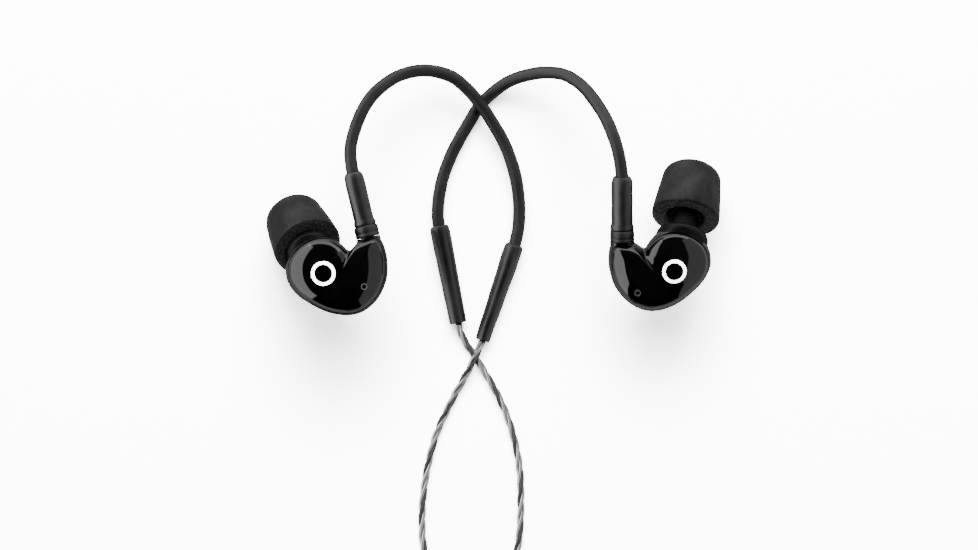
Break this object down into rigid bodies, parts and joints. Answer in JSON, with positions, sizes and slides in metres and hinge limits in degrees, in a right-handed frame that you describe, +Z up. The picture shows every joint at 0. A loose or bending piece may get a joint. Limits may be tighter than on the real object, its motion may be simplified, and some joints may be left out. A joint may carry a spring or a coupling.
{
  "type": "in-ear monitors",
  "caption": "Pair of wired in-ear monitors with foam tips, over-ear hooks on detachable twisted leads, splitter, coiled cable and stereo plug, laid flat.",
  "frame": {"origin": "on the table under the middle of the box round the two earpieces and ear hooks, cable left out", "axes": "+Z up from the table, +X from the left earpiece to the right one, +Y from the leads to the top of the ear hooks"},
  "size_m": [0.0865, 0.1781, 0.0193],
  "materials": {
    "gloss_shell": "deep gloss black moulding",
    "nozzle_plastic": "satin black",
    "metal_mesh": "woven wire",
    "foam": "slow-recovery foam with a matte skin",
    "core_rubber": "matte",
    "driver_metal": "satin",
    "magnet": "nickel plated",
    "diaphragm": "thin film",
    "copper_wire": "enamelled",
    "gold": "gold plated",
    "insulator": "plain",
    "spring_steel": "polished",
    "collar_plastic": "satin black",
    "heat_shrink": "satin heat-shrink",
    "hook_rubber": "matte tubing",
    "twisted_lead": "clear jacket over silver and dark strands",
    "black_plastic": "satin black",
    "plug_black": "anodised black",
    "tie_fabric": "hook and loop"
  },
  "bodies": {
    "harness": {"left_cable_plug": "gold", "left_cable_pin": "gold", "left_collar": "collar_plastic", "left_upper_sleeve": "heat_shrink", "left_ear_hook": "hook_rubber", "left_hook_cable": "twisted_lead", "left_lower_sleeve": "heat_shrink", "left_lead": "twisted_lead", "right_cable_plug": "gold", "right_cable_pin": "gold", "right_collar": "collar_plastic", "right_upper_sleeve": "heat_shrink", "right_ear_hook": "hook_rubber", "right_hook_cable": "twisted_lead", "right_lower_sleeve": "heat_shrink", "right_lead": "twisted_lead", "lead_coil": "twisted_lead", "lead_ends": "twisted_lead", "y_splitter": "black_plastic", "main_loop": "twisted_lead", "cable_coil": "twisted_lead", "cable_tie": "tie_fabric", "main_end": "twisted_lead", "plug_strain_relief": "black_plastic", "plug_barrel": "plug_black", "plug_sleeve_contact": "gold", "plug_ring_contact": "gold", "plug_tip_contact": "gold", "plug_insulators": "black_plastic"},
    "left_ring": {"left_snap_ring": "spring_steel"},
    "left_earpiece": {"left_faceplate": "gloss_shell", "left_shell": "gloss_shell", "left_vent_ring": "nozzle_plastic", "left_nozzle": "nozzle_plastic", "left_nozzle_mesh": "metal_mesh", "left_driver_frame": "driver_metal", "left_driver_magnet": "magnet", "left_driver_diaphragm": "diaphragm", "left_driver_wires": "copper_wire", "left_socket": "gold", "left_socket_insulator": "insulator"},
    "left_tip": {"left_foam_tip": "foam", "left_tip_core": "core_rubber"},
    "right_ring": {"right_snap_ring": "spring_steel"},
    "right_earpiece": {"right_faceplate": "gloss_shell", "right_shell": "gloss_shell", "right_vent_ring": "nozzle_plastic", "right_nozzle": "nozzle_plastic", "right_nozzle_mesh": "metal_mesh", "right_driver_frame": "driver_metal", "right_driver_magnet": "magnet", "right_driver_diaphragm": "diaphragm", "right_driver_wires": "copper_wire", "right_socket": "gold", "right_socket_insulator": "insulator"},
    "right_tip": {"right_foam_tip": "foam", "right_tip_core": "core_rubber"},
    "slider": {"neck_slider": "black_plastic"}
  },
  "joints": [
    {"name": "left_swivel", "type": "hinge", "parent": "harness", "child": "left_ring", "pos_m": [-0.02304, -0.00794, 0.01391], "axis": [-0.2334, 0.9724, 0], "range_deg": [0, 180]},
    {"name": "left_unplug", "type": "slide", "parent": "left_ring", "child": "left_earpiece", "axis": [0.2334, -0.9724, 0], "range_m": [0, 0.006]},
    {"name": "left_tip_pull", "type": "slide", "parent": "left_earpiece", "child": "left_tip", "axis": [-0.3208, 0.6162, -0.7193], "range_m": [0, 0.007]},
    {"name": "right_swivel", "type": "hinge", "parent": "harness", "child": "right_ring", "pos_m": [0.02456, -0.00857, 0.01333], "axis": [-0.0084, 0.9612, 0.2756], "range_deg": [-180, 0]},
    {"name": "right_unplug", "type": "slide", "parent": "right_ring", "child": "right_earpiece", "axis": [0.0084, -0.9612, -0.2756], "range_m": [0, 0.006]},
    {"name": "right_tip_pull", "type": "slide", "parent": "right_earpiece", "child": "right_tip", "axis": [0.1607, 0.8476, -0.5057], "range_m": [0, 0.007]},
    {"name": "slider_slide", "type": "slide", "parent": "harness", "child": "slider", "axis": [0, -1, 0], "range_m": [0, 0.012]}
  ]
}
